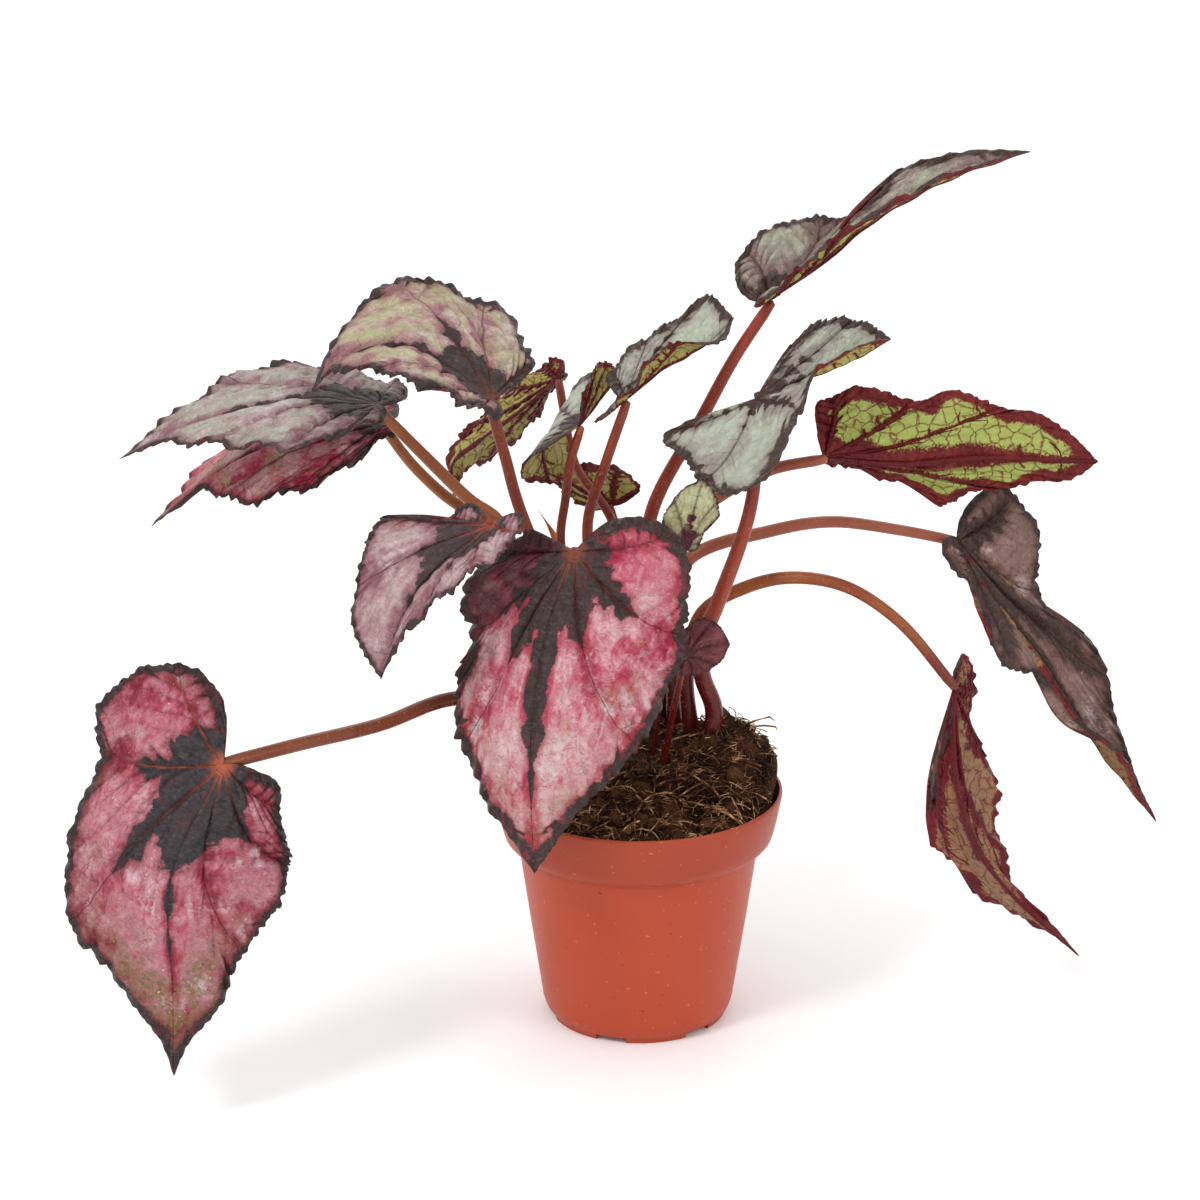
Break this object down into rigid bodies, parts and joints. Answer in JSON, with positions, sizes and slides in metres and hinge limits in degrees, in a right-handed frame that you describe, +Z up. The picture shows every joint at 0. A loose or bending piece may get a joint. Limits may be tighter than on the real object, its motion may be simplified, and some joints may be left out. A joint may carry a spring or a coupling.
{
  "type": "potted plant",
  "caption": "Rex begonia with large patterned, frilled leaves on arching red stalks, standing in a round tapered plastic nursery pot filled with peat.",
  "frame": {"origin": "centre of the pot's underside, on the surface it stands on", "axes": "+Z up along the pot's axis, +X to the right and +Y to the back as seen from the side shown as the front"},
  "size_m": [0.445, 0.2043, 0.3606],
  "materials": {
    "pot": "satin moulded terracotta-coloured plastic with fine scuffs",
    "soil": "dark peat with pale coir fibres, rough and matt",
    "crown": "dark brownish-red rhizome, slightly glossy where bare",
    "stipule": "dry orange papery skin",
    "blade_far_left": "soft satin leaf with a blistered surface, dark veins and a dark margin",
    "blade_front": "soft satin leaf with a blistered surface, dark veins and a dark margin",
    "blade_left_front": "soft satin leaf with a blistered surface, dark veins and a dark margin",
    "blade_upper_left": "soft satin leaf with a blistered surface, dark veins and a dark margin",
    "blade_left_upper": "soft satin leaf with a blistered surface, dark veins and a dark margin",
    "blade_left_under": "soft satin leaf with a blistered surface, dark veins and a dark margin",
    "blade_back_left": "soft satin leaf with a blistered surface, dark veins and a dark margin",
    "blade_small_fold": "soft satin leaf with a blistered surface, dark veins and a dark margin",
    "blade_centre_top": "soft satin leaf with a blistered surface, dark veins and a dark margin",
    "blade_right_centre": "soft satin leaf with a blistered surface, dark veins and a dark margin",
    "blade_top_right": "soft satin leaf with a blistered surface, dark veins and a dark margin",
    "blade_right": "soft satin leaf with a blistered surface, dark veins and a dark margin",
    "blade_right_hanging": "soft satin leaf with a blistered surface, dark veins and a dark margin",
    "blade_right_folded": "soft satin leaf with a blistered surface, dark veins and a dark margin",
    "blade_young_pale": "soft satin leaf with a blistered surface, dark veins and a dark margin",
    "blade_young_behind": "soft satin leaf with a blistered surface, dark veins and a dark margin",
    "blade_young_dark": "soft satin leaf with a blistered surface, dark veins and a dark margin",
    "stalk_far_left": "fleshy reddish leaf stalk with fine pale hairs, satin",
    "stalk_front": "fleshy reddish leaf stalk with fine pale hairs, satin",
    "stalk_left_front": "fleshy reddish leaf stalk with fine pale hairs, satin",
    "stalk_upper_left": "fleshy reddish leaf stalk with fine pale hairs, satin",
    "stalk_left_upper": "fleshy reddish leaf stalk with fine pale hairs, satin",
    "stalk_left_under": "fleshy reddish leaf stalk with fine pale hairs, satin",
    "stalk_back_left": "fleshy reddish leaf stalk with fine pale hairs, satin",
    "stalk_small_fold": "fleshy reddish leaf stalk with fine pale hairs, satin",
    "stalk_centre_top": "fleshy reddish leaf stalk with fine pale hairs, satin",
    "stalk_right_centre": "fleshy reddish leaf stalk with fine pale hairs, satin",
    "stalk_top_right": "fleshy reddish leaf stalk with fine pale hairs, satin",
    "stalk_right": "fleshy reddish leaf stalk with fine pale hairs, satin",
    "stalk_right_hanging": "fleshy reddish leaf stalk with fine pale hairs, satin",
    "stalk_right_folded": "fleshy reddish leaf stalk with fine pale hairs, satin",
    "stalk_young_pale": "fleshy reddish leaf stalk with fine pale hairs, satin",
    "stalk_young_behind": "fleshy reddish leaf stalk with fine pale hairs, satin",
    "stalk_young_dark": "fleshy reddish leaf stalk with fine pale hairs, satin"
  },
  "bodies": {
    "root": {"pot": "pot", "soil": "soil", "crown": "crown", "bud": "stipule", "leaf_far_left": "blade_far_left", "leaf_front": "blade_front", "leaf_left_front": "blade_left_front", "leaf_upper_left": "blade_upper_left", "leaf_left_upper": "blade_left_upper", "leaf_left_under": "blade_left_under", "leaf_back_left": "blade_back_left", "leaf_small_fold": "blade_small_fold", "leaf_centre_top": "blade_centre_top", "leaf_right_centre": "blade_right_centre", "leaf_top_right": "blade_top_right", "leaf_right": "blade_right", "leaf_right_hanging": "blade_right_hanging", "leaf_right_folded": "blade_right_folded", "leaf_young_pale": "blade_young_pale", "leaf_young_behind": "blade_young_behind", "leaf_young_dark": "blade_young_dark", "petiole_far_left": "stalk_far_left", "petiole_front": "stalk_front", "petiole_left_front": "stalk_left_front", "petiole_upper_left": "stalk_upper_left", "petiole_left_upper": "stalk_left_upper", "petiole_left_under": "stalk_left_under", "petiole_back_left": "stalk_back_left", "petiole_small_fold": "stalk_small_fold", "petiole_centre_top": "stalk_centre_top", "petiole_right_centre": "stalk_right_centre", "petiole_top_right": "stalk_top_right", "petiole_right": "stalk_right", "petiole_right_hanging": "stalk_right_hanging", "petiole_right_folded": "stalk_right_folded", "petiole_young_pale": "stalk_young_pale", "petiole_young_behind": "stalk_young_behind", "petiole_young_dark": "stalk_young_dark"}
  },
  "joints": []
}
